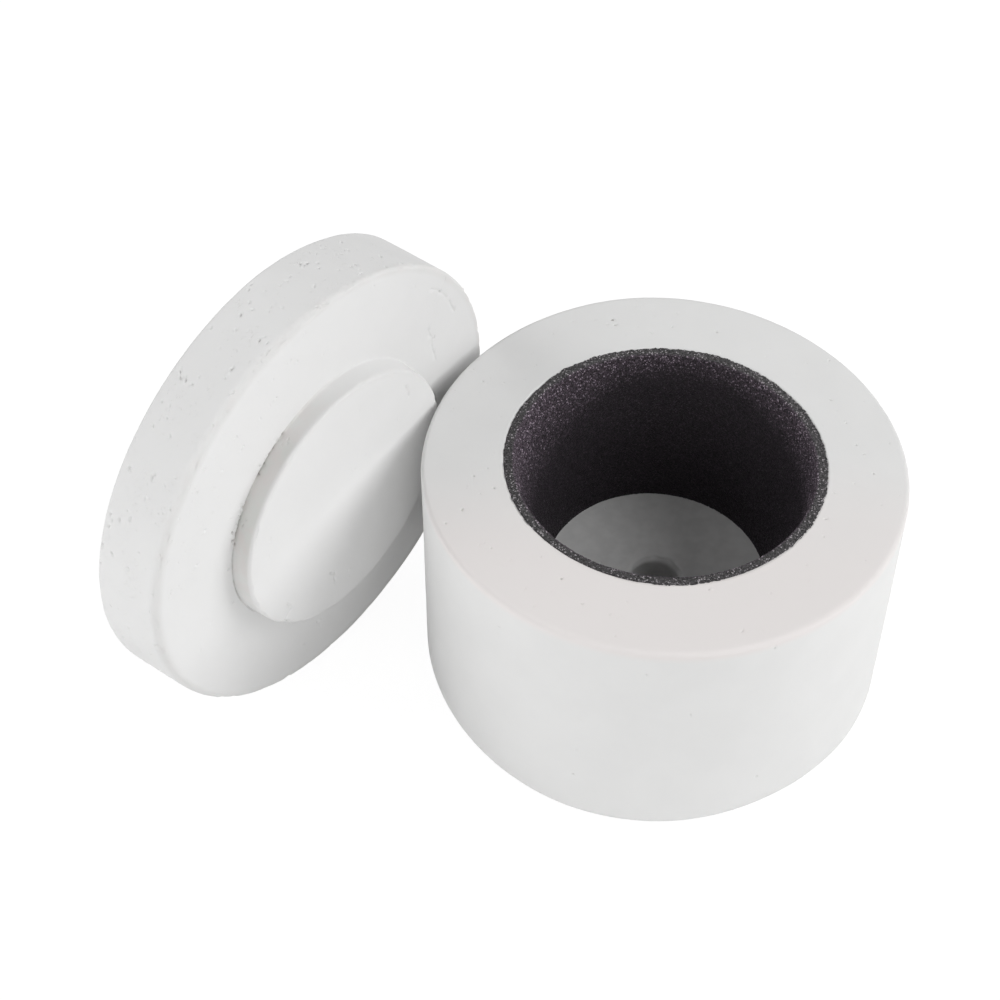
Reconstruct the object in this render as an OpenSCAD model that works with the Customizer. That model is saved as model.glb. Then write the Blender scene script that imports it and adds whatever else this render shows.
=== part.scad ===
// Small microwave kiln, in three pieces.
// A thick round chamber of white ceramic fibre stands with its firing cavity
// open upwards. The cavity is lined with dark silicon carbide grit, and a vent
// runs through its floor. The loose base plate stands on edge beside the
// chamber, and the edge of its raised platform rests on the chamber's wall.
// The origin is the centre of the vent, on the face that the chamber stands on.
// +Z runs up the chamber, and +X is the way the platform faces. Millimetres.

/* [Chamber] */
// Diameter of the chamber at its open rim
chamber_d = 120; // [100:1:160]
// Height of the chamber
chamber_h = 69; // [60:1:100]
// How much the wall's radius narrows from the rim to the closed end
wall_draft = 0.5; // [0:0.1:2]
// Thickness of the closed end, under the cavity's floor
end_t = 26; // [15:1:35]
// Radius of the rim's outer edge
rim_round = 1.5; // [0.5:0.1:3]
// Radius of the closed end's outer edge
foot_round = 3; // [0.5:0.5:6]

/* [Vent] */
// Diameter of the vent through the closed end
vent_d = 12.7; // [6:0.1:20]
// Radius of the vent's edge on the cavity's floor
vent_round = 1.2; // [0.5:0.1:2]

/* [Heating liner] */
// Inner diameter of the liner at the rim
liner_mouth_d = 74.2; // [72.5:0.1:76]
// Inner diameter of the liner at the cavity's floor
liner_floor_d = 57.2; // [40:0.2:70]
// Thickness of the liner, measured level
liner_wall = 2.7; // [1.5:0.1:4]
// Radius of the liner's inner edge at the rim
lip_round = 0.6; // [0.2:0.1:1.2]

/* [Base plate] */
// Diameter of the base plate
base_d = 121; // [100:1:160]
// Thickness of the base plate, without its platform
base_t = 19; // [10:0.5:30]
// Radius of the base plate's edges
base_round = 1; // [0.2:0.1:3]
// Diameter of the raised platform at its foot, which fits the liner's mouth
platform_d = 71.5; // [50:0.5:71.5]
// Height of the platform above the plate
platform_h = 6; // [3:0.5:12]
// How much the platform's radius narrows from its foot to its top
platform_draft = 0.25; // [0:0.05:1]
// Radius of the platform's top edge
platform_round = 0.6; // [0.2:0.1:2]

/* [Stance] */
// How far the base plate's centre stands to the side of the chamber's axis
base_offset = 52.3; // [45:0.1:70]
// Air left between the platform's edge and the chamber's wall
stance_gap = 0.3; // [0.2:0.1:2]

/* [Hidden] */
$fn = 180;
// Steps in each rounded edge.
arc_steps = 8;
// Radii.
chamber_r = chamber_d / 2;
closed_end_r = chamber_r - wall_draft;
vent_r = vent_d / 2;
liner_mouth_r = liner_mouth_d / 2;
liner_floor_r = liner_floor_d / 2;
seat_mouth_r = liner_mouth_r + liner_wall;
seat_floor_r = liner_floor_r + liner_wall;
base_r = base_d / 2;
platform_foot_r = platform_d / 2;
platform_top_r = platform_foot_r - platform_draft;
// The platform's widest point is level with the plate's centre, where the
// wall's radius is touch_r, and touch_y to the side of the chamber's axis.
touch_r = closed_end_r + wall_draft * base_r / chamber_h;
touch_y = base_offset - platform_top_r;
platform_x = -sqrt(pow(touch_r + stance_gap, 2) - pow(touch_y, 2));
base_back_x = platform_x - platform_h - base_t;

// Points of an arc about [cx, cy], from angle a0 to angle a1.
function arc(cx, cy, r, a0, a1) = [
    for (i = [0 : arc_steps])
        let (a = a0 + (a1 - a0) * i / arc_steps)
            [cx + r * cos(a), cy + r * sin(a)]
];

// Half outline of the chamber, from the vent's foot round to its mouth.
chamber_outline = concat(
    [[vent_r, 0]],
    arc(closed_end_r - foot_round, foot_round, foot_round, -90, 0),
    arc(chamber_r - rim_round, chamber_h - rim_round, rim_round, 0, 90),
    [[seat_mouth_r, chamber_h], [seat_floor_r, end_t]],
    arc(vent_r + vent_round, end_t - vent_round, vent_round, 90, 180)
);

// Half outline of the liner, whose outer side is the cavity's own wall.
liner_outline = concat(
    [[liner_floor_r, end_t], [seat_floor_r, end_t], [seat_mouth_r, chamber_h]],
    arc(liner_mouth_r + lip_round, chamber_h - lip_round, lip_round, 90, 180)
);

// Half outline of the base plate, lying on its back with the platform up.
base_outline = concat(
    [[0, 0]],
    arc(base_r - base_round, base_round, base_round, -90, 0),
    arc(base_r - base_round, base_t - base_round, base_round, 0, 90),
    [[platform_foot_r, base_t]],
    arc(platform_top_r - platform_round, base_t + platform_h - platform_round, platform_round, 0, 90),
    [[0, base_t + platform_h]]
);

// Thick fibre body with the tapered cavity and the vent through its floor.
module chamber() {
    color("#dedad8")
        rotate_extrude()
            polygon(chamber_outline);
}

// Tapered ring of silicon carbide grit that takes up the microwaves.
module heating_liner() {
    color("#3b383d")
        rotate_extrude()
            polygon(liner_outline);
}

// Fibre plate with its round platform, standing upright on its edge.
module base_plate() {
    color("#e6e3e1")
        translate([base_back_x, -base_offset, base_r])
            rotate([0, 90, 0])
                rotate_extrude()
                    polygon(base_outline);
}

chamber();
heating_liner();
base_plate();
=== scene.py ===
"""Looks of a small microwave kiln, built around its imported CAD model.

The chamber and the base plate are moulded from white ceramic fibre: pits, fine
cracks, worn edges and an uneven surface are in their meshes. The heating liner
is a rough ring of dark silicon carbide grit, and its grains are in its mesh.
Outlines and sizes are in millimetres, and each mesh is scaled to metres.
"""
import collections
import itertools
import math

import bmesh
import bpy
import numpy as np
from mathutils import Matrix, Vector


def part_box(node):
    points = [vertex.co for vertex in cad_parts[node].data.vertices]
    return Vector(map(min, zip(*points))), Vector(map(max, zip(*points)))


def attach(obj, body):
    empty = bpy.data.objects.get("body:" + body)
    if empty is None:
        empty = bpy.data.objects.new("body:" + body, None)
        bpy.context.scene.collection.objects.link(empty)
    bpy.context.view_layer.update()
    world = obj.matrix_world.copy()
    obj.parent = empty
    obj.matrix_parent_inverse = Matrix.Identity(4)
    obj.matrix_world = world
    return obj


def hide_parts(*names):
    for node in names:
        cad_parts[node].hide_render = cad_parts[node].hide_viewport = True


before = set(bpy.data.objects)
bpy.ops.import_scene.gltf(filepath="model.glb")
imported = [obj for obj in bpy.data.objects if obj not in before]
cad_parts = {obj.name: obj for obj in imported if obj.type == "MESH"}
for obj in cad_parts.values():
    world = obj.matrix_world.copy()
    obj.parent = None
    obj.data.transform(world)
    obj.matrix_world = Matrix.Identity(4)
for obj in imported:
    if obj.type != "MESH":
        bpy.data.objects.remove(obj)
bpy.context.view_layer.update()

MM = 0.001

# ---------------------------------------------------------------- sizes, in mm
chamber_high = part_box("chamber")[1] / MM
liner_low, liner_high = (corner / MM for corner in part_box("heating_liner"))
plate_low, plate_high = (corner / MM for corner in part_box("base_plate"))

CHAMBER_R = chamber_high.x
CHAMBER_H = chamber_high.z
END_T = liner_low.z
SEAT_MOUTH_R = liner_high.x
WALL_DRAFT = 0.5
RIM_ROUND = 1.3
FOOT_ROUND = 3.0
VENT_R = 6.35
VENT_ROUND = 1.2
LINER_WALL = 2.7
LINER_FLOOR_R = 28.2
LIP_ROUND = 0.7
PLATE_R = (plate_high.z - plate_low.z) / 2
PLATE_T = 19.0
PLATE_ROUND = 0.8
PLATFORM_R = 35.75
PLATFORM_H = plate_high.x - plate_low.x - PLATE_T
PLATFORM_DRAFT = 0.25
PLATFORM_ROUND = 0.9
PLATE_CENTRE_Y = (plate_low.y + plate_high.y) / 2

# ---------------------------------------------------------------- random fields


def lattice(cell, seed):
    """A number from 0 to 1 for each whole-number cell, the same in every run."""
    mixed = cell[..., 0] * 374761393 + cell[..., 1] * 668265263 + cell[..., 2] * 1442695041
    mixed = (mixed + seed * 1013904223) & 0xFFFFFFFF
    mixed = ((mixed ^ (mixed >> 15)) * 2246822519) & 0xFFFFFFFF
    mixed = ((mixed ^ (mixed >> 13)) * 3266489917) & 0xFFFFFFFF
    return (mixed ^ (mixed >> 16)) / 0xFFFFFFFF


def soft_noise(points, size, seed):
    """A smooth random field from -1 to 1, with lumps of about size. Each seed has its own field."""
    place = points / size
    low = np.floor(place).astype(np.int64)
    part = place - low
    part = part * part * (3 - 2 * part)
    total = np.zeros(len(points))
    for corner in itertools.product((0, 1), repeat=3):
        weight = np.prod(np.where(corner, part, 1 - part), axis=1)
        total += weight * lattice(low + corner, seed)
    return 2 * total - 1


def grains(points, size, seed):
    """How far each point is from its grain's centre, in grain sizes, and the grain's own number."""
    place = points / size
    home = np.floor(place).astype(np.int64)
    nearest = np.full(len(points), 9.0)
    own = np.zeros(len(points))
    for step in itertools.product((-1, 0, 1), repeat=3):
        cell = home + step
        centre = cell + np.stack([lattice(cell, seed + k) for k in range(3)], axis=1)
        away = np.linalg.norm(place - centre, axis=1)
        closer = away < nearest
        nearest = np.where(closer, away, nearest)
        own = np.where(closer, lattice(cell, seed + 3), own)
    return nearest, own


# ---------------------------------------------------------------- meshes


def line(start, end, step):
    """Points from start up to, and without, end."""
    start, end = np.array(start), np.array(end)
    count = max(1, round(math.dist(start, end) / step))
    return [tuple(start + (end - start) * i / count) for i in range(count)]


def arc(centre, radius, start, end, count=6):
    """Points of an arc, from one angle to another in degrees, both ends included."""
    angles = np.radians(np.linspace(start, end, count + 1))
    return [(centre[0] + radius * math.cos(a), centre[1] + radius * math.sin(a)) for a in angles]


FEWEST_POINTS = 18
SHARE_TO_HALVE = 0.62


def ring_size(radius, widest, full):
    """How many points a ring of this radius has: fewer near the middle, so that faces stay even."""
    count = full
    while count > FEWEST_POINTS and radius / widest < SHARE_TO_HALVE * count / full:
        count //= 2
    return count


def join_rings(outer, inner):
    """Faces between two rings of vertex numbers. One may have twice the points of the other."""
    if len(outer) == len(inner):
        return list(zip(outer, np.roll(outer, -1), np.roll(inner, -1), inner))
    fine, coarse = (outer, inner) if len(outer) > len(inner) else (inner, outer)
    faces = []
    for i, here in enumerate(coarse):
        after = coarse[(i + 1) % len(coarse)]
        left, middle, right = fine[2 * i], fine[2 * i + 1], fine[(2 * i + 2) % len(fine)]
        faces += [(left, middle, here), (middle, after, here), (middle, right, after)]
    return faces


def turned(outline, full, closed):
    """A bmesh of the outline turned about Z.

    A closed outline joins its end to its start, and an open one ends on the axis.
    """
    widest = max(radius for radius, height in outline)
    points, rings, faces = [], [], []
    for radius, height in outline:
        count = ring_size(radius, widest, full) if radius > 1e-6 else 1
        turn = 2 * math.pi * np.arange(count) / count
        rings.append(np.arange(count) + sum(len(r) for r in rings))
        places = (radius * np.cos(turn), radius * np.sin(turn), np.full(count, height))
        points.append(np.stack(places, axis=1))
    pairs = list(zip(rings, rings[1:])) + ([(rings[-1], rings[0])] if closed else [])
    for one, other in pairs:
        if len(one) == 1 or len(other) == 1:
            pole, ring = (one, other) if len(one) == 1 else (other, one)
            faces += [(pole[0], a, b) for a, b in zip(ring, np.roll(ring, -1))]
        else:
            faces += join_rings(one, other)
    mesh = bpy.data.meshes.new("turned")
    mesh.from_pydata(np.concatenate(points).tolist(), [], [tuple(int(v) for v in f) for f in faces])
    built = bmesh.new()
    built.from_mesh(mesh)
    bpy.data.meshes.remove(mesh)
    bmesh.ops.recalc_face_normals(built, faces=built.faces)
    return built


def refine(built, centres, reach, cuts=3):
    """Splits the faces within reach of the centres, so that small features have points to bend."""
    if not len(centres):
        return
    middles = np.array([face.calc_center_median() for face in built.faces])
    wanted = np.zeros(len(middles), bool)
    for centre, radius in zip(centres, reach):
        wanted |= np.linalg.norm(middles - centre, axis=1) < radius
    built.faces.ensure_lookup_table()
    edges = {edge for i in np.flatnonzero(wanted) for edge in built.faces[i].edges}
    bmesh.ops.subdivide_edges(built, edges=list(edges), cuts=cuts, use_grid_fill=True)


def coordinates(mesh):
    """The mesh's points and their normals, as arrays."""
    points = np.empty(len(mesh.vertices) * 3, np.float32)
    normals = np.empty(len(mesh.vertices) * 3, np.float32)
    mesh.vertices.foreach_get("co", points)
    mesh.vertex_normals.foreach_get("vector", normals)
    return points.reshape(-1, 3).astype(float), normals.reshape(-1, 3).astype(float)


def piece(name, built, shape, place=Matrix.Identity(4)):
    """An object from a bmesh. shape(points, normals) gives the new points and their marks."""
    mesh = bpy.data.meshes.new(name)
    built.to_mesh(mesh)
    built.free()
    points, normals = coordinates(mesh)
    points, marks = shape(points, normals)
    mesh.vertices.foreach_set("co", points.astype(np.float32).ravel())
    for mark, values in marks.items():
        data = mesh.attributes.new(mark, "FLOAT", "POINT").data
        data.foreach_set("value", values.astype(np.float32))
    mesh.transform(Matrix.Scale(MM, 4) @ place)
    mesh.polygons.foreach_set("use_smooth", np.ones(len(mesh.polygons), bool))
    mesh.update()
    made = bpy.data.objects.new(name, mesh)
    bpy.context.scene.collection.objects.link(made)
    return made


# ---------------------------------------------------------------- surface features

# A pit is a dent with a long way, or a crumb where its depth is below zero. Sizes are in mm.
Pit = collections.namedtuple("Pit", "centre along length width depth")
# The mesh is made fine this far beyond a pit's end, and this far from a crack.
PIT_MARGIN = 0.35
CRACK_REACH = 0.8
# How deep the soft lumps of the moulded fibre are.
LUMP_DEPTH = 0.14


def at(radius, angle, height):
    """A point that lies this far round and up."""
    turn = math.radians(angle)
    return np.array([radius * math.cos(turn), radius * math.sin(turn), height])


def round_way(angle, lean, upright):
    """The way round the axis, leaning by lean degrees: up the wall if upright, else outwards."""
    turn, tilt = math.radians(angle), math.radians(lean)
    rest = np.array([0, 0, 1]) if upright else np.array([math.cos(turn), math.sin(turn), 0])
    return math.cos(tilt) * np.array([-math.sin(turn), math.cos(turn), 0]) + math.sin(tilt) * rest


def wall_pit(radius, angle, height, length, width, depth, lean=0.0):
    """A pit in an upright wall."""
    return Pit(at(radius, angle, height), round_way(angle, lean, True), length, width, depth)


def face_pit(radius, angle, height, length, width, depth, lean=0.0):
    """A pit in a level face."""
    return Pit(at(radius, angle, height), round_way(angle, lean, False), length, width, depth)


def scattered(rng, count, widths, stretch, spot, crumbs=0.3):
    """Pits at random, most of them small, and a share of them with a crumb beside them."""
    found = []
    for _ in range(count):
        width = widths[0] + (widths[1] - widths[0]) * rng.random() ** 2
        length = width * (1 + (stretch - 1) * rng.random())
        depth = width * (0.3 + 0.3 * rng.random())
        make, radius, angle, height = spot(rng)
        lean = rng.normal(0, 25)
        found.append(make(radius, angle, height, length, width, depth, lean))
        if rng.random() < crumbs:
            beside = angle + math.degrees(width / radius)
            sizes = (0.8 * length, 0.8 * width, -0.6 * depth)
            found.append(make(radius, beside, height, *sizes, lean))
    return found


def on_face(inner, outer, height, angles=(0, 360)):
    """Chooses places on a level ring."""
    def spot(rng):
        radius = math.sqrt(inner**2 + (outer**2 - inner**2) * rng.random())
        return face_pit, radius, angles[0] + (angles[1] - angles[0]) * rng.random(), height
    return spot


def on_wall(radius, low, high, angles=(0, 360)):
    """Chooses places on an upright wall."""
    def spot(rng):
        angle = angles[0] + (angles[1] - angles[0]) * rng.random()
        return wall_pit, radius, angle, low + (high - low) * rng.random()
    return spot


def pit_marks(points, pits, seed):
    """How deep the pits cut each point, in mm."""
    cut = np.zeros(len(points))
    ragged = 1 + 0.6 * soft_noise(points, 0.5, seed)
    for pit in pits:
        near = np.flatnonzero(np.abs(points - pit.centre).max(axis=1) < pit.length)
        away = points[near] - pit.centre
        along = away @ pit.along
        across = np.sqrt(np.maximum((away**2).sum(axis=1) - along**2, 0))
        share = np.hypot(along / (pit.length / 2), across / (pit.width / 2)) * ragged[near]
        cut[near] += pit.depth * np.clip(1 - share**2, 0, 1) ** 1.5
    return cut


def crack_marks(points, cracks, seed):
    """How deep the cracks cut each point. A crack is its corners, its width and its depth."""
    cut = np.zeros(len(points))
    wander = 0.25 * np.stack([soft_noise(points, 1.6, seed + k) for k in range(3)], axis=1)
    for corners, width, depth in cracks:
        for start, end in zip(corners, corners[1:]):
            start, end = np.array(start, float), np.array(end, float)
            span = end - start
            share = np.clip((points - start) @ span / (span @ span), 0, 1)
            away = np.linalg.norm(points + wander - start - share[:, None] * span, axis=1)
            cut = np.maximum(cut, depth * np.clip(1 - 2 * away / width, 0, 1))
    return cut


def crack_places(cracks):
    """Points along the cracks, near which the mesh needs to be fine."""
    return [
        np.array(start) + (np.array(end) - np.array(start)) * share
        for corners, width, depth in cracks
        for start, end in zip(corners, corners[1:])
        for share in np.linspace(0, 1, max(2, round(math.dist(start, end) / CRACK_REACH)))
    ]


def refine_for(built, pits, cracks):
    """Makes the mesh fine at the pits and the cracks."""
    places = crack_places(cracks)
    reach = [PIT_MARGIN + pit.length / 2 for pit in pits] + [CRACK_REACH] * len(places)
    refine(built, [pit.centre for pit in pits] + places, reach)


def from_axis(points):
    """How far each point is from the axis."""
    return np.hypot(points[:, 0], points[:, 1])


def round_from(points, angle):
    """How many degrees round the axis each point is from an angle, either way."""
    turn = np.degrees(np.arctan2(points[:, 1], points[:, 0]))
    return np.abs((turn - angle + 180) % 360 - 180)


def out_of_round(points, shape):
    """How far a wall stands out at each point's angle.

    shape is the mean, and then (waves round, amount, angle of a crest) for each set of waves.
    """
    turn = np.arctan2(points[:, 1], points[:, 0])
    mean, *sets = shape
    return mean + sum(
        amount * np.cos(waves * turn - math.radians(crest)) for waves, amount, crest in sets
    )


def between(points, share, low, high):
    """How far a wall stands out this share of the way up from its low shape to its high one."""
    return share * out_of_round(points, high) + (1 - share) * out_of_round(points, low)


def push_out(points, amount):
    """Moves points away from the axis."""
    radius = np.maximum(from_axis(points), 1e-6)
    moved = points.copy()
    moved[:, :2] *= (1 + amount / radius)[:, None]
    return moved


def smooth(value, low, high):
    """0 up to low, 1 from high on, and a soft step between them."""
    share = np.clip((value - low) / (high - low), 0, 1)
    return share * share * (3 - 2 * share)


# ---------------------------------------------------------------- chamber

CHAMBER_POINTS = 576
# The chamber's face is a hair under the top of the liner's grains.
CHAMBER_FACE = CHAMBER_H - 0.08
# The rim and the closed end aren't quite round.
RIM_SHAPE = (0.0, (2, 0.19, -95), (3, 0.21, 5), (4, 0.09, 150))
FOOT_SHAPE = (-0.1, (1, 0.17, 25), (2, 0.11, -80), (3, 0.19, 165), (4, 0.29, 95))
# The cavity was moulded a little off the chamber's axis.
CAVITY_SHIFT = (-0.43, 0.76)
CAVITY_SHIFT_FROM, CAVITY_SHIFT_TO = 42.0, 58.0
# Pits that stand out: radius or height in mm, and the angle round the chamber.
FACE_PITS = (
    (52, 141, 1.1), (50, 141, 0.9), (49, 110, 0.7), (52, -124, 0.9), (57, -121, 0.7),
    (43, -129, 0.7), (51, -108, 0.7), (44, -96, 0.6), (56, -87, 0.5), (46, -86, 0.9),
    (50, -77, 0.6), (56, -66, 0.5), (48, 46, 0.7), (51, 35, 0.8), (44, 5, 0.6),
)
WALL_PITS = (
    (59, -94, 0.9), (61, -58, 0.8), (46, -47, 0.6), (66, -29, 0.9), (65, -16, 0.7), (14, -28, 0.9),
    (16, -73, 0.8),
)
# The way to the side whose rim is a little warmer in colour, and a little darker over its rounding
# as painted shade.
WARM_SIDE = (0.61, -0.79)
# Fine scratches in its face: corners across and along.
FACE_SCRATCHES = (((-31, -36), (-34, -33)), ((-36, -30), (-38, -27)), ((-33, -30), (-36, -34)))
SCRATCH_WIDTH, SCRATCH_DEPTH = 0.5, 0.1


def chamber_outline():
    """The chamber's half outline, from the vent's foot round to the vent's mouth."""
    foot_r = CHAMBER_R - WALL_DRAFT
    foot = arc((foot_r - FOOT_ROUND, FOOT_ROUND), FOOT_ROUND, -90, 0)
    rim = arc((CHAMBER_R - RIM_ROUND, CHAMBER_FACE - RIM_ROUND), RIM_ROUND, 0, 90)
    mouth = (SEAT_MOUTH_R - 0.1, CHAMBER_FACE)
    seat = (LINER_FLOOR_R + LINER_WALL, END_T)
    vent = arc((VENT_R + VENT_ROUND, END_T - VENT_ROUND), VENT_ROUND, 90, 180)
    return (
        line((VENT_R, 0), foot[0], 2.0) + foot + line(foot[-1], rim[0], 1.1)[1:] + rim
        + line(rim[-1], mouth, 0.8)[1:] + line(mouth, seat, 6.0) + line(seat, vent[0], 0.7)
        + vent + line(vent[-1], (VENT_R, 0), 1.2)[1:]
    )


def off_centre(points):
    """Moves the cavity to where it was moulded, and leaves the outer wall where it is."""
    share = smooth(-from_axis(points), -CAVITY_SHIFT_TO, -CAVITY_SHIFT_FROM)
    share *= points[:, 2] > END_T - VENT_ROUND
    moved = points.copy()
    moved[:, :2] += share[:, None] * np.array(CAVITY_SHIFT)
    return moved


def chamber_pits():
    """The pits that stand out, and others like them all round."""
    rng = np.random.default_rng(11)
    wall_r = CHAMBER_R - WALL_DRAFT / 2
    named = [
        face_pit(radius, angle, CHAMBER_FACE, 1.3 * width, width, 0.4 * width)
        for radius, angle, width in FACE_PITS
    ]
    named += [
        wall_pit(wall_r, angle, height, 1.3 * width, width, 0.4 * width)
        for height, angle, width in WALL_PITS
    ]
    return (
        named
        + scattered(rng, 80, (0.3, 0.6), 2.5, on_face(41, 58, CHAMBER_FACE), 0.5)
        + scattered(rng, 50, (0.3, 0.6), 2.0, on_wall(wall_r, 3, 66), 0.5)
        + scattered(rng, 14, (0.4, 0.8), 2.0, on_face(9, 27, END_T))
    )


def chamber_cracks():
    """Fine scratches in the chamber's face."""
    return [
        ([(x, y, CHAMBER_H) for x, y in corners], SCRATCH_WIDTH, SCRATCH_DEPTH)
        for corners in FACE_SCRATCHES
    ]


def shape_chamber(points, normals):
    """The chamber's uneven moulded surface, with its pits."""
    pits = pit_marks(points, chamber_pits(), 21) + crack_marks(points, chamber_cracks(), 23)
    lumps = LUMP_DEPTH * (soft_noise(points, 24, 1) - 1) + 0.03 * soft_noise(points, 5, 2)
    lumps[points[:, 2] < 0.01] = 0
    moved = points + normals * (lumps - pits)[:, None]
    shape = between(points, points[:, 2] / CHAMBER_H, FOOT_SHAPE, RIM_SHAPE)
    radius = from_axis(points)
    moved = push_out(moved, smooth(radius, 48, 58) * shape)
    vent_edge = smooth(-radius, -VENT_R - 2.5, -VENT_R)
    vent_edge *= smooth(points[:, 2], END_T - 3, END_T - 1)
    moved = push_out(moved, 0.5 * vent_edge * soft_noise(points, 2.2, 7))
    moved = np.clip(moved, (-CHAMBER_R, -CHAMBER_R, 0), (CHAMBER_R, CHAMBER_R, CHAMBER_H))
    # The cavity's floor is painted a darker grey: painted shade of the deep cavity.
    cavity = smooth(-radius, -33, -31)
    # The front rim is tinted warmer down over its rounding, where the tint's slightly darker colour
    # is painted shade.
    front = points[:, :2] @ np.array(WARM_SIDE) / CHAMBER_R + 0.1 * soft_noise(points, 20, 6)
    warm_tint_and_shade = smooth(points[:, 2], CHAMBER_H - 3, CHAMBER_H - 1.8) * smooth(front, -0.1, 0.6)
    # The pits' depth also paints them darker: partly dark specks, partly painted shade in them.
    return off_centre(moved), {"pit": pits, "cavity_shade": cavity, "warm_tint_and_shade": warm_tint_and_shade}


def make_chamber():
    """The chamber's mesh, from its outline."""
    built = turned(chamber_outline(), CHAMBER_POINTS, closed=True)
    refine_for(built, chamber_pits(), chamber_cracks())
    made = piece("chamber_body", built, shape_chamber)
    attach(made, "kiln_chamber")
    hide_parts("chamber")
    return made


# ---------------------------------------------------------------- heating liner

LINER_POINTS = 640
GRAIN = 0.4
# How far down from its mouth the liner's wall is painted lighter, by the angle round it: painted
# light near the mouth, painted shade deeper down.
LINER_PAINTED_LIGHT_DEPTH = (15.0, (1, 7.0, -142), (2, 6.5, 76))
# How much lighter that painted light is, by the angle round it.
LINER_PAINTED_LIGHT = (0.7, (1, 0.12, -142), (2, 0.18, 76))
LINER_SHAPE = (0.0, (1, 0.1, 25), (5, 0.1, 100), (7, 0.08, 30))


def liner_outline():
    """The liner's half outline: grit face, rim, and the hidden back."""
    top = CHAMBER_H - 0.04
    mouth_r = SEAT_MOUTH_R - LINER_WALL
    lip = arc((mouth_r + LIP_ROUND, top - LIP_ROUND), LIP_ROUND, 180, 90, 3)
    outer = (SEAT_MOUTH_R, top)
    behind = (SEAT_MOUTH_R - 0.1, top - 1)
    back_low = (LINER_FLOOR_R + LINER_WALL - 0.4, END_T - 0.2)
    front_low = (LINER_FLOOR_R, END_T - 0.2)
    return (
        line(front_low, lip[0], 0.34) + lip + line(lip[-1], outer, 0.34)[1:]
        + line(outer, behind, 0.5) + line(behind, back_low, 8.0) + line(back_low, front_low, 1.0)
    )


def shape_liner(points, normals):
    """Grains stand out of the liner's face and rim, and its edges are ragged."""
    radius = from_axis(points)
    slope = (SEAT_MOUTH_R - LINER_FLOOR_R - LINER_WALL) / (CHAMBER_H - END_T)
    seat_r = SEAT_MOUTH_R - (CHAMBER_H - points[:, 2]) * slope
    hidden = (radius > seat_r - 0.8) & (points[:, 2] < CHAMBER_H - 0.5)
    away, own = grains(points, GRAIN, 31)
    lumps = 0.14 * (own - 0.9) - 0.16 * np.clip(away - 0.3, 0, 1) + 0.08 * soft_noise(points, 6, 32)
    lumps[hidden] = 0
    moved = points + normals * lumps[:, None]
    edge = smooth(radius, SEAT_MOUTH_R - 1.0, SEAT_MOUTH_R) * (points[:, 2] > CHAMBER_H - 0.5)
    ragged = 0.16 * soft_noise(points, 1.6, 33) + 0.26 * (own - 0.5)
    moved = push_out(moved, edge * (ragged + out_of_round(points, LINER_SHAPE)))
    moved[:, 2] = np.minimum(moved[:, 2], CHAMBER_H)
    # The rim's greyer colours stop short of the lip, so the lip keeps the wall's lighter colours: a
    # painted highlight along it.
    rim = smooth(points[:, 2], CHAMBER_H - 0.6, CHAMBER_H - 0.2) * smooth(radius, 37.3, 38.0)
    # The wall is painted lighter near its mouth and darker deep down: painted light and painted
    # shade.
    high = smooth((points[:, 2] - CHAMBER_H) / out_of_round(points, LINER_PAINTED_LIGHT_DEPTH), -1, 0)
    high *= out_of_round(points, LINER_PAINTED_LIGHT)
    return off_centre(moved), {"rim": rim, "high": high}


def make_liner():
    """The liner's mesh, from its outline."""
    built = turned(liner_outline(), LINER_POINTS, closed=True)
    made = piece("liner_ring", built, shape_liner)
    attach(made, "kiln_chamber")
    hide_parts("heating_liner")
    return made


# ---------------------------------------------------------------- base plate

# Its own frame: it lies on its back with the platform up, and angles are round its axis. Angle 0 is
# where it stands on the bench, and -90 is the side away from the chamber.
PLATE_POINTS = 480
PLATE_TOP = PLATE_T + PLATFORM_H
FRONT_SHAPE = (-0.1, (1, 0.16, -140), (2, 0.13, 160), (3, 0.09, 95))
BACK_SHAPE = (0.1, (1, 0.37, -35), (2, 0.15, -115), (3, 0.14, 150), (4, 0.16, -75))
# Pits that stand out in its side: height above its back in mm, angle and width.
SIDE_PITS = (
    (5, -150, 1.0), (2.5, -151, 0.9), (7.5, -152, 0.6), (5.5, -169, 1.0), (14, -166, 1.0),
    (12, -165, 0.6), (6, -141, 0.7), (9, -138, 0.8), (9.5, -128, 0.9), (13.5, -128, 0.6),
    (17, -124, 0.8), (4, -106, 1.0), (4.5, -115, 0.8), (8.5, -85, 0.8), (5, 171, 0.8),
    (9, 169, 0.8), (7, 158, 0.7), (6.5, 176, 0.7), (10.5, -173, 0.6),
)
# Fine cracks in its faces: corners across and along, seen with the platform up.
FACE_CRACKS = (
    ((-21, 40), (-17, 40.5), (-12.5, 41.5)), ((-38, 40), (-35, 43.5), (-31, 46)),
    ((-35, 44), (-38, 46)), ((-29, 47), (-24, 49)), ((-26, 38), (-22, 40)),
)
PLATFORM_CRACKS = (
    ((18.5, -23.5), (21.5, -22.5), (23.5, -25), (26, -24)), ((21, -8), (23, -6), (26, -6.5)),
    ((-21.5, 23), (-17, 24)),
)
# How high the pits in the platform's side begin and end.
FOOT_PITS_HIGH = (PLATE_T, PLATE_T + 3)
# A soft dent in the platform: how far out and round.
SOFT_DENT = (29, -108)
# The groove at the platform's foot, deepest round this angle.
GROOVE_AT, GROOVE_SPREAD, GROOVE_DEPTH, GROOVE_WIDTH = -110, 75, 0.8, 0.8
# The front edge is worn rounder round this angle.
EDGE_WORN_AT, EDGE_ROUND, EDGE_ROUND_WORN = -112, 1.0, 3.0
PLATFORM_FOOT_SHAPE = (-0.7, (1, 0.3, 80), (2, 0.75, -104))
PLATFORM_TOP_SHAPE = (-0.05, (1, 0.2, 50))
PLATFORM_MOST_OUT = 0.1
# The grey that the liner rubs off on the platform's side, strongest round this angle.
RUBBED_AT = -120
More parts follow.
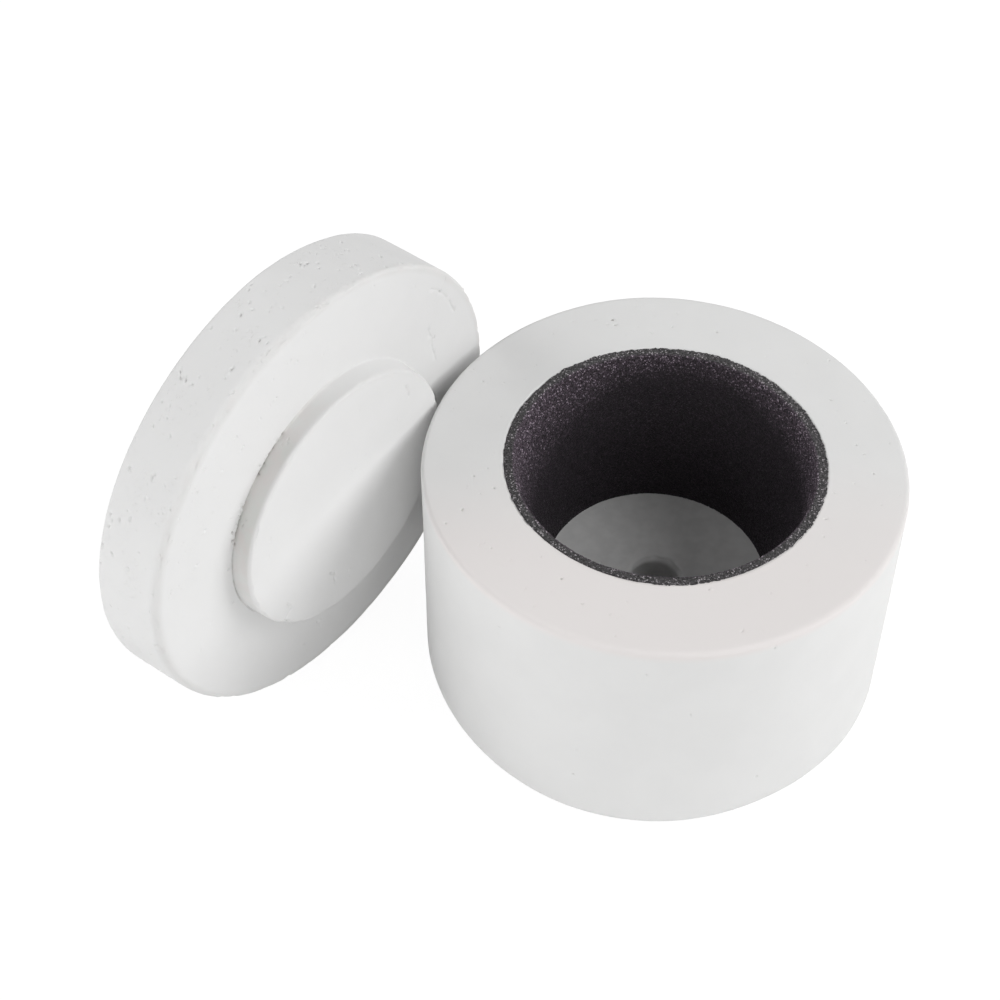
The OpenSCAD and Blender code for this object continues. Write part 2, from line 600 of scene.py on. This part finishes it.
# The front edge and the platform's edge: radius and height, and how much painted shade greys them.
PAINTED_EDGE_SHADE = ((PLATE_R - 0.7, PLATE_T - 0.5, 0.3), (PLATFORM_R - 0.5, PLATE_TOP - 0.2, 0.14))
# The same edges: radius and height, and how deep they are chipped.
WORN_EDGES = ((PLATE_R, PLATE_T, 0.6), (PLATFORM_R - PLATFORM_DRAFT, PLATE_TOP, 0.5))


def plate_outline():
    """The base plate's half outline, from the back's middle to the platform's middle."""
    back = arc((PLATE_R - PLATE_ROUND, PLATE_ROUND), PLATE_ROUND, -90, 0)
    front = arc((PLATE_R - EDGE_ROUND, PLATE_T - EDGE_ROUND), EDGE_ROUND, 0, 90, 4)
    worn_from, worn_to = (PLATE_R, PLATE_T - 3.4), (PLATE_R - 3.4, PLATE_T)
    crest = (PLATFORM_R - PLATFORM_DRAFT - PLATFORM_ROUND, PLATE_TOP - PLATFORM_ROUND)
    platform = arc(crest, PLATFORM_ROUND, 0, 90)
    foot = (PLATFORM_R, PLATE_T)
    near_foot = (PLATFORM_R + 0.9, PLATE_T)
    return (
        line((0, 0), back[0], 2.8) + back + line(back[-1], worn_from, 0.95)[1:]
        + line(worn_from, front[0], 0.5) + front + line(front[-1], worn_to, 0.5)[1:]
        + line(worn_to, near_foot, 1.1) + line(near_foot, foot, 0.15)
        + line(foot, platform[0], 0.55) + platform
        + line(platform[-1], (0, PLATE_TOP), 1.1)[1:] + [(0, PLATE_TOP)]
    )


def plate_pits():
    """Many pits in the plate's side, a few in its faces, and a crumbly stretch at the foot."""
    rng = np.random.default_rng(12)
    named = [
        wall_pit(PLATE_R, angle, height, 1.7 * width, 0.8 * width, 0.45 * width, 25)
        for height, angle, width in SIDE_PITS
    ]
    return (
        named
        + [face_pit(*SOFT_DENT, PLATE_TOP, 2.4, 1.8, 0.14)]
        + scattered(rng, 400, (0.4, 0.95), 2.5, on_wall(PLATE_R, 0.5, PLATE_T - 0.5), 0.6)
        + scattered(rng, 40, (0.35, 0.8), 3.0, on_face(37, 59, PLATE_T), 0.5)
        + scattered(rng, 36, (0.4, 0.9), 2.0, on_face(46, 59, PLATE_T, (-178, -95)), 0.8)
        + scattered(rng, 16, (0.35, 0.7), 3.0, on_face(2, 34, PLATE_TOP), 0.5)
        + scattered(rng, 10, (0.35, 0.7), 2.0, on_wall(PLATFORM_R, *FOOT_PITS_HIGH, (-155, -95)))
        + scattered(rng, 24, (0.35, 0.8), 1.5, on_face(35.6, 36.9, PLATE_T, (-155, -136)), 0.5)
        + scattered(rng, 44, (0.4, 0.9), 1.5, on_face(35.6, 37.2, PLATE_T, (-125, -104)), 0.6)
        + scattered(rng, 12, (0.5, 1.2), 2.0, on_face(2, 58, 0))
    )


def plate_cracks():
    """The plate's fine cracks, on the plate's face and on the platform."""
    groups = ((FACE_CRACKS, PLATE_T, 0.65, 0.32), (PLATFORM_CRACKS, PLATE_TOP, 0.8, 0.4))
    return [
        ([(x, y, level) for x, y in corners], width, depth)
        for cracks, level, width, depth in groups
        for corners in cracks
    ]


def foot_groove(points):
    """How deep the groove at the platform's foot is at each point."""
    along = np.clip(1 - round_from(points, GROOVE_AT) / GROOVE_SPREAD, 0, 1) ** 0.5
    away = np.hypot(from_axis(points) - PLATFORM_R, points[:, 2] - PLATE_T)
    across = np.clip(1 - 2 * away / GROOVE_WIDTH, 0, 1)
    ragged = 0.6 + 0.7 * soft_noise(points, 2.2, 41) + 0.5 * soft_noise(points, 0.7, 45)
    return GROOVE_DEPTH * along * np.maximum(ragged, 0.1) * across


def platform_shape(points):
    """How far the platform's side stands out from a true circle at each point."""
    radius = from_axis(points)
    near = smooth(radius, 30, 34) * smooth(-radius, -41, -37) * (points[:, 2] > PLATE_T - 0.01)
    up = np.clip((points[:, 2] - PLATE_T) / PLATFORM_H, 0, 1)
    shape = between(points, up, PLATFORM_FOOT_SHAPE, PLATFORM_TOP_SHAPE)
    return near * np.minimum(shape, PLATFORM_MOST_OUT)


def rounded_front(points):
    """Rounds the plate's front edge: each point beyond the edge's arc is drawn in onto it."""
    radius = from_axis(points)
    worn = smooth(-round_from(points, EDGE_WORN_AT), -80, -45)
    worn *= 0.9 + 0.1 * soft_noise(points, 9, 46)
    reach = EDGE_ROUND + (EDGE_ROUND_WORN - EDGE_ROUND) * worn
    out, up = reach - (PLATE_R - radius), reach - (PLATE_T - points[:, 2])
    beyond = (radius > 50) & (out > 0) & (up > 0) & (np.hypot(out, up) > reach)
    share = np.where(beyond, reach / np.maximum(np.hypot(out, up), 1e-6), 1)
    moved = push_out(points, np.where(beyond, out * (share - 1), 0))
    moved[:, 2] += np.where(beyond, up * (share - 1), 0)
    return moved


def rubbed_side(points):
    """How much grey the liner has left by rubbing on the platform's side at each point."""
    radius = from_axis(points)
    side = smooth(radius, 35.0, 35.4) * smooth(-radius, -36.3, -35.9)
    below = smooth(-points[:, 2], -PLATE_TOP + 0.5, -PLATE_TOP + 1.6)
    patchy = 0.75 + 0.25 * soft_noise(points, 6, 44)
    most = smooth(-round_from(points, RUBBED_AT), -80, -15)
    return side * below * patchy * (0.05 + 0.95 * most)


def painted_edge_shade(points):
    """How much painted shade greys the front edge and the platform's edge at each point."""
    grey = np.zeros(len(points))
    for edge_r, edge_z, share in PAINTED_EDGE_SHADE:
        away = np.hypot(from_axis(points) - edge_r, points[:, 2] - edge_z)
        grey = np.maximum(grey, share * smooth(-away, -2.0, -0.6))
    return grey * (0.8 + 0.3 * soft_noise(points, 5, 47))


def worn_edges(points):
    """How far the front edge and the platform's edge are chipped in at each point."""
    chips = np.maximum(soft_noise(points, 2.5, 42) + 0.5 * soft_noise(points, 0.8, 43), 0)
    wear = np.zeros(len(points))
    for edge_r, edge_z, depth in WORN_EDGES:
        away = np.hypot(from_axis(points) - edge_r, points[:, 2] - edge_z)
        wear += depth * chips * np.clip(1.3 - away, 0, 1)
    return wear


def shape_plate(points, normals):
    """The plate's uneven moulded surface, with its pits, cracks and groove."""
    pits = pit_marks(points, plate_pits(), 22) + crack_marks(points, plate_cracks(), 24)
    lumps = LUMP_DEPTH * (soft_noise(points, 20, 4) - 1) + 0.04 * soft_noise(points, 4, 5)
    lumps[points[:, 2] < 0.01] = 0
    moved = rounded_front(points) + normals * (lumps - pits)[:, None]
    groove = foot_groove(points)
    moved[:, 2] -= groove
    moved = push_out(moved, platform_shape(points))
    moved = push_out(moved, -worn_edges(points))
    radius = from_axis(points)
    shape = between(points, np.clip(points[:, 2] / PLATE_T, 0, 1), BACK_SHAPE, FRONT_SHAPE)
    moved = push_out(moved, smooth(radius, 50, 59) * shape)
    moved = np.clip(moved, (-PLATE_R, -PLATE_R, 0), (PLATE_R, PLATE_R, PLATE_TOP))
    worn = 0.2 + 0.8 * smooth(radius, PLATE_R - 1.2, PLATE_R - 0.6)
    # The pits and the foot groove are painted darker: partly dark specks, partly painted shade in
    # them.
    pit = 0.6 * np.maximum(pits, 0) + 0.4 * groove
    # The liner's grey rubbed onto the platform's side, and painted shade along the plate's edges.
    rubbed_and_edge_shade = np.maximum(rubbed_side(points), painted_edge_shade(points))
    return moved, {"pit": pit, "worn": worn, "rubbed_and_edge_shade": rubbed_and_edge_shade}


def make_plate():
    """The plate's mesh, from its outline, stood on edge."""
    built = turned(plate_outline(), PLATE_POINTS, closed=False)
    refine_for(built, plate_pits(), plate_cracks())
    place = Matrix.Translation((plate_low.x, PLATE_CENTRE_Y, PLATE_R))
    upright = place @ Matrix.Rotation(math.pi / 2, 4, "Y")
    made = piece("base_plate_body", built, shape_plate, upright)
    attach(made, "kiln_base")
    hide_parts("base_plate")
    return made


# ---------------------------------------------------------------- materials


class Nodes:
    """A short way to write a material's nodes."""

    def __init__(self, name):
        self.material = bpy.data.materials.new(name)
        self.material.use_nodes = True
        self.tree = self.material.node_tree
        self.shader = self.tree.nodes["Principled BSDF"]

    def add(self, kind, settings=None, **inputs):
        node = self.tree.nodes.new(kind)
        for key, value in (settings or {}).items():
            setattr(node, key, value)
        for key, value in inputs.items():
            self.set(node.inputs[key.replace("_", " ")], value)
        return node

    def set(self, socket, value):
        if isinstance(value, bpy.types.NodeSocket):
            self.tree.links.new(value, socket)
        else:
            socket.default_value = value

    def noise(self, size_mm, detail=2.0, where=None):
        node = self.add("ShaderNodeTexNoise", Scale=1 / (size_mm * MM), Detail=detail)
        self.tree.links.new(where or self.place(), node.inputs["Vector"])
        return node.outputs["Fac"]

    def cells(self, size_mm):
        node = self.add("ShaderNodeTexVoronoi", Scale=1 / (size_mm * MM))
        self.tree.links.new(self.place(), node.inputs["Vector"])
        return node

    def place(self):
        return self.add("ShaderNodeTexCoord").outputs["Object"]

    def ramp(self, value, low, high, to_low=0.0, to_high=1.0):
        node = self.add("ShaderNodeMapRange", {"interpolation_type": "SMOOTHSTEP"})
        ends = {"From Min": low, "From Max": high, "To Min": to_low, "To Max": to_high}
        for key, number in ends.items():
            node.inputs[key].default_value = number
        self.set(node.inputs["Value"], value)
        return node.outputs["Result"]

    def math(self, how, one, other=0.0):
        node = self.add("ShaderNodeMath", {"operation": how})
        self.set(node.inputs[0], one)
        self.set(node.inputs[1], other)
        return node.outputs["Value"]

    def mix(self, share, one, other):
        node = self.add("ShaderNodeMix", {"data_type": "RGBA"})
        self.set(node.inputs["Factor"], share)
        self.set(node.inputs["A"], one)
        self.set(node.inputs["B"], other)
        return node.outputs["Result"]

    def mottled(self, size_mm, detail, spread, one, other):
        """Two colours in soft patches."""
        share = self.ramp(self.noise(size_mm, detail), 0.5 - spread, 0.5 + spread)
        return self.mix(share, one, other)

    def blend(self, share, one, other):
        """Two shaders."""
        node = self.add("ShaderNodeMixShader", Fac=share)
        self.tree.links.new(one, node.inputs[1])
        self.tree.links.new(other, node.inputs[2])
        return node.outputs["Shader"]

    def mark(self, name):
        return self.add("ShaderNodeAttribute", {"attribute_name": name}).outputs["Fac"]

    def bump(self, height, distance_mm, strength=1.0, under=None):
        node = self.add("ShaderNodeBump", Height=height, Strength=strength)
        node.inputs["Distance"].default_value = distance_mm * MM
        if under is not None:
            self.tree.links.new(under, node.inputs["Normal"])
        return node.outputs["Normal"]


def scaled(n, colour, share):
    """A colour times a number."""
    node = n.add("ShaderNodeVectorMath", {"operation": "SCALE"})
    n.set(node.inputs["Vector"], colour)
    n.set(node.inputs["Scale"], share)
    return node.outputs["Vector"]


# The fibre's other colours: its warm rim, whose slightly darker colour over the rim's rounding is
# painted shade; the cavity's painted shade; and where the liner rubs off, which also greys the
# plate's edges as painted shade.
WARM_SHADED_COLOUR = (0.81, 0.778, 0.768, 1)
CAVITY_SHADE_COLOURS = ((0.64, 0.64, 0.635, 1), (0.70, 0.70, 0.695, 1))
RUBBED_AND_EDGE_SHADE_COLOURS = ((0.69, 0.66, 0.642, 1), (0.675, 0.68, 0.655, 1))


def fibre(name, colour, tint, pit_shade_colour, wear):
    """Matt ceramic fibre: soft mottling, pits painted darker (partly dark specks, partly painted
    shade), fine felt, and crumbs where it is worn.
    """
    n = Nodes(name)
    base = n.mottled(14, 3, 0.2, colour, tint)
    # Warm tint on the front rim, with painted shade over its rounding.
    base = n.mix(n.mark("warm_tint_and_shade"), base, WARM_SHADED_COLOUR)
    # Painted shade in the cavity.
    base = n.mix(n.mark("cavity_shade"), base, n.mottled(3, 4, 0.2, *CAVITY_SHADE_COLOURS))
    # The liner's grey on the platform's side, and painted shade along the plate's edges.
    base = n.mix(n.mark("rubbed_and_edge_shade"), base, n.mottled(4, 2, 0.15, *RUBBED_AND_EDGE_SHADE_COLOURS))
    # Pits painted darker: partly dark specks, partly painted shade.
    base = n.mix(n.ramp(n.mark("pit"), 0.08, 0.45), base, pit_shade_colour)
    clusters = n.ramp(n.noise(7, 2), 0.42, 0.62)
    worn = n.math("MULTIPLY", n.math("MAXIMUM", n.mark("worn"), wear), clusters)
    along = n.add("ShaderNodeVectorMath", {"operation": "MULTIPLY"})
    n.set(along.inputs[0], n.place())
    along.inputs[1].default_value = (2.2, 1, 1)
    spots = n.ramp(n.noise(0.9, 2, along.outputs["Vector"]), 0.28, 0.38, 1.0, 0.0)
    spots = n.math("MULTIPLY", spots, worn)
    n.set(n.shader.inputs["Base Color"], scaled(n, base, n.ramp(spots, 0.0, 1.0, 1.0, 0.985)))
    n.shader.inputs["Roughness"].default_value = 0.95
    n.shader.inputs["Specular IOR Level"].default_value = 0.2
    felt = n.bump(n.noise(0.3, 3), 0.03, 0.5)
    crumbs = n.bump(n.math("MULTIPLY", spots, -1.0), 0.07, 1.0, felt)
    n.set(n.shader.inputs["Normal"], n.bump(n.noise(2.5, 2), 0.05, 0.5, crumbs))
    return n.material


# The size of the grains that have their own tone, in mm.
GRIT_CELL = 0.29


def grit():
    """Dark grit: each grain has its own tone, and a few grains are painted bright as painted
    glints. The wall is painted lighter near its mouth and darker deep down, as painted light and
    shade. The rim is greyer.
    """
    n = Nodes("silicon_carbide_grit")
    cells = n.cells(GRIT_CELL)
    own = n.add("ShaderNodeSeparateColor")
    n.set(own.inputs["Color"], cells.outputs["Color"])

    # Deep down the wall's colours are darker, as painted shade, and high up lighter, as painted
    # light; the rim has its own greyer colours.
    def by_place(deep, high, rim):
        return n.mix(n.mark("rim"), n.mix(n.mark("high"), deep, high), rim)

    dark = by_place((0.003, 0.0025, 0.003, 1), (0.006, 0.005, 0.006, 1), (0.009, 0.009, 0.009, 1))
    light = by_place((0.020, 0.0145, 0.020, 1), (0.12, 0.092, 0.117, 1), (0.066, 0.062, 0.065, 1))
    # A few grains are painted bright: painted glints, strongest high on the wall.
    painted_glint = by_place((0.05, 0.037, 0.05, 1), (0.74, 0.62, 0.73, 1), (0.45, 0.42, 0.44, 1))
    base = n.mix(n.ramp(own.outputs["Red"], 0.0, 1.0), dark, light)
    base = n.mix(n.ramp(own.outputs["Green"], 0.86, 1.0), base, painted_glint)
    n.set(n.shader.inputs["Base Color"], base)
    n.set(n.shader.inputs["Roughness"], n.ramp(own.outputs["Blue"], 0.0, 1.0, 0.3, 0.8))
    n.shader.inputs["IOR"].default_value = 1.35
    n.set(n.shader.inputs["Normal"], n.bump(cells.outputs["Distance"], 0.2, 1.0))
    return n.material


# ---------------------------------------------------------------- stage, lights and camera

IMAGE_SIZE = 1000
FOCAL_PIXELS = 2350.7
CAMERA_PLACE = (209.98, -336.38, 489.82)
CAMERA_YAW, CAMERA_PITCH, CAMERA_ROLL = -0.6599, 0.8345, 0.0161
SENSOR_WIDTH = 36.0


def make_camera():
    """The photograph's own view."""
    level = math.cos(CAMERA_PITCH)
    across, along = math.sin(CAMERA_YAW) * level, math.cos(CAMERA_YAW) * level
    ahead = Vector((across, along, -math.sin(CAMERA_PITCH)))
    right = ahead.cross(Vector((0, 0, 1))).normalized()
    up = right.cross(ahead)
    lean = Matrix.Rotation(-CAMERA_ROLL, 3, ahead)
    right, up = lean @ right, lean @ up
    data = bpy.data.cameras.new("camera")
    data.sensor_width = SENSOR_WIDTH
    data.lens = FOCAL_PIXELS * SENSOR_WIDTH / IMAGE_SIZE
    data.clip_start, data.clip_end = 0.01, 20
    camera = bpy.data.objects.new("camera", data)
    turn = Matrix((right, up, -ahead)).transposed().to_4x4()
    camera.matrix_world = Matrix.Translation(Vector(CAMERA_PLACE) * MM) @ turn
    bpy.context.scene.collection.objects.link(camera)
    bpy.context.scene.camera = camera


# Soft lamps round the table: the way to each, how high it stands, both in degrees, and its watts.
LAMPS = (
    ("right_lamp", 38, 36, 13.6), ("right_front_lamp", -7, 35, 4.0), ("front_lamp", -52, 12, 3.7),
    ("left_front_lamp", -97, 12, 5.9), ("left_lamp", -142, 35, 8.3), ("back_lamp", 128, 35, 3.1),
)
# Where the lamps point, how far off they are, and their side.
LAMP_AIM = Vector((-0.015, -0.03, 0.05))
LAMP_FAR, LAMP_SIDE = 1.5, 1.0
WORLD_LIGHT = 0.145


def softbox(name, way, height, power):
    """A large soft lamp that points at the middle of the object."""
    data = bpy.data.lights.new(name, "AREA")
    data.size = LAMP_SIDE
    data.energy = power
    lamp = bpy.data.objects.new(name, data)
    turn, rise = math.radians(way), math.radians(height)
    out = Vector((math.cos(turn) * math.cos(rise), math.sin(turn) * math.cos(rise), math.sin(rise)))
    lamp.location = LAMP_AIM + LAMP_FAR * out
    lamp.rotation_euler = (-out).to_track_quat("-Z", "Y").to_euler()
    bpy.context.scene.collection.objects.link(lamp)


def only_seen(tree, shader_in, seen, plain):
    """Joins two shaders: the camera and reflections see one, and light bounces off the other."""
    path = tree.nodes.new("ShaderNodeLightPath")
    rays = path.outputs["Is Camera Ray"]
    for other in ("Is Glossy Ray", "Is Transmission Ray"):
        either = tree.nodes.new("ShaderNodeMath")
        either.operation = "MAXIMUM"
        tree.links.new(rays, either.inputs[0])
        tree.links.new(path.outputs[other], either.inputs[1])
        rays = either.outputs["Value"]
    both = tree.nodes.new("ShaderNodeMixShader")
    tree.links.new(rays, both.inputs["Fac"])
    tree.links.new(plain, both.inputs[1])
    tree.links.new(seen, both.inputs[2])
    tree.links.new(both.outputs["Shader"], shader_in)


def make_world(strength):
    """A white surround for the camera, and soft light from all round."""
    world = bpy.data.worlds.new("studio")
    world.use_nodes = True
    tree = world.node_tree
    plain = tree.nodes["Background"]
    plain.inputs["Color"].default_value = (1, 1, 1, 1)
    plain.inputs["Strength"].default_value = strength
    seen = tree.nodes.new("ShaderNodeBackground")
    seen.inputs["Color"].default_value = (1, 1, 1, 1)
    seen.inputs["Strength"].default_value = 1
    surface = tree.nodes["World Output"].inputs["Surface"]
    only_seen(tree, surface, seen.outputs["Background"], plain.outputs["Background"])
    bpy.context.scene.world = world


FLOOR_SIDE = 6.0
FLOOR_SHADOW = 0.06
# The floor keeps its shadow up to the first distance, and is plain white from the second.
SHADOW_NEAR, SHADOW_FAR = 0.3, 0.8
# Under the chamber, where only the vent shows it, the floor is as dark as it really is.
UNDER_NEAR, UNDER_FAR = 0.02, 0.03


def make_floor():
    """A pale floor, which keeps a faint shadow and is white to the camera elsewhere."""
    mesh = bpy.data.meshes.new("floor")
    half = FLOOR_SIDE / 2
    corners = [(-half, -half, 0), (half, -half, 0), (half, half, 0), (-half, half, 0)]
    mesh.from_pydata(corners, [], [(0, 1, 2, 3)])
    floor = bpy.data.objects.new("floor", mesh)
    bpy.context.scene.collection.objects.link(floor)
    n = Nodes("floor")
    n.shader.inputs["Base Color"].default_value = (0.9, 0.9, 0.9, 1)
    n.shader.inputs["Roughness"].default_value = 0.9
    n.shader.inputs["Specular IOR Level"].default_value = 0.1
    white = n.add("ShaderNodeEmission", Strength=1 - FLOOR_SHADOW)
    lit = n.add("ShaderNodeBsdfDiffuse")
    lit.inputs["Color"].default_value = [2 * FLOOR_SHADOW] * 3 + [1]
    seen = n.add("ShaderNodeAddShader")
    n.tree.links.new(white.outputs["Emission"], seen.inputs[0])
    n.tree.links.new(lit.outputs["BSDF"], seen.inputs[1])
    away = n.add("ShaderNodeVectorMath", {"operation": "LENGTH"})
    n.set(away.inputs[0], n.place())
    plain = n.add("ShaderNodeEmission", Strength=1.0)
    far = n.ramp(away.outputs["Value"], SHADOW_NEAR, SHADOW_FAR)
    open_floor = n.blend(far, seen.outputs["Shader"], plain.outputs["Emission"])
    uncovered = n.ramp(away.outputs["Value"], UNDER_NEAR, UNDER_FAR)
    whole_floor = n.blend(uncovered, n.shader.outputs["BSDF"], open_floor)
    surface = n.tree.nodes["Material Output"].inputs["Surface"]
    only_seen(n.tree, surface, whole_floor, n.shader.outputs["BSDF"])
    mesh.materials.append(n.material)


make_camera()
make_world(WORLD_LIGHT)
for lamp in LAMPS:
    softbox(*lamp)
make_floor()
chamber = make_chamber()
liner = make_liner()
plate = make_plate()
# The third colour of each is the pits' darker colour: partly dark specks, partly painted shade.
chamber_colours = ((0.80, 0.80, 0.795, 1), (0.785, 0.785, 0.78, 1), (0.5, 0.49, 0.47, 1))
plate_colours = ((0.816, 0.815, 0.812, 1), (0.806, 0.805, 0.802, 1), (0.42, 0.41, 0.40, 1))
chamber.data.materials.append(fibre("chamber_fibre", *chamber_colours, 0.06))
plate.data.materials.append(fibre("base_fibre", *plate_colours, 0.0))
liner.data.materials.append(grit())

bpy.context.scene.view_settings.view_transform = "Standard"
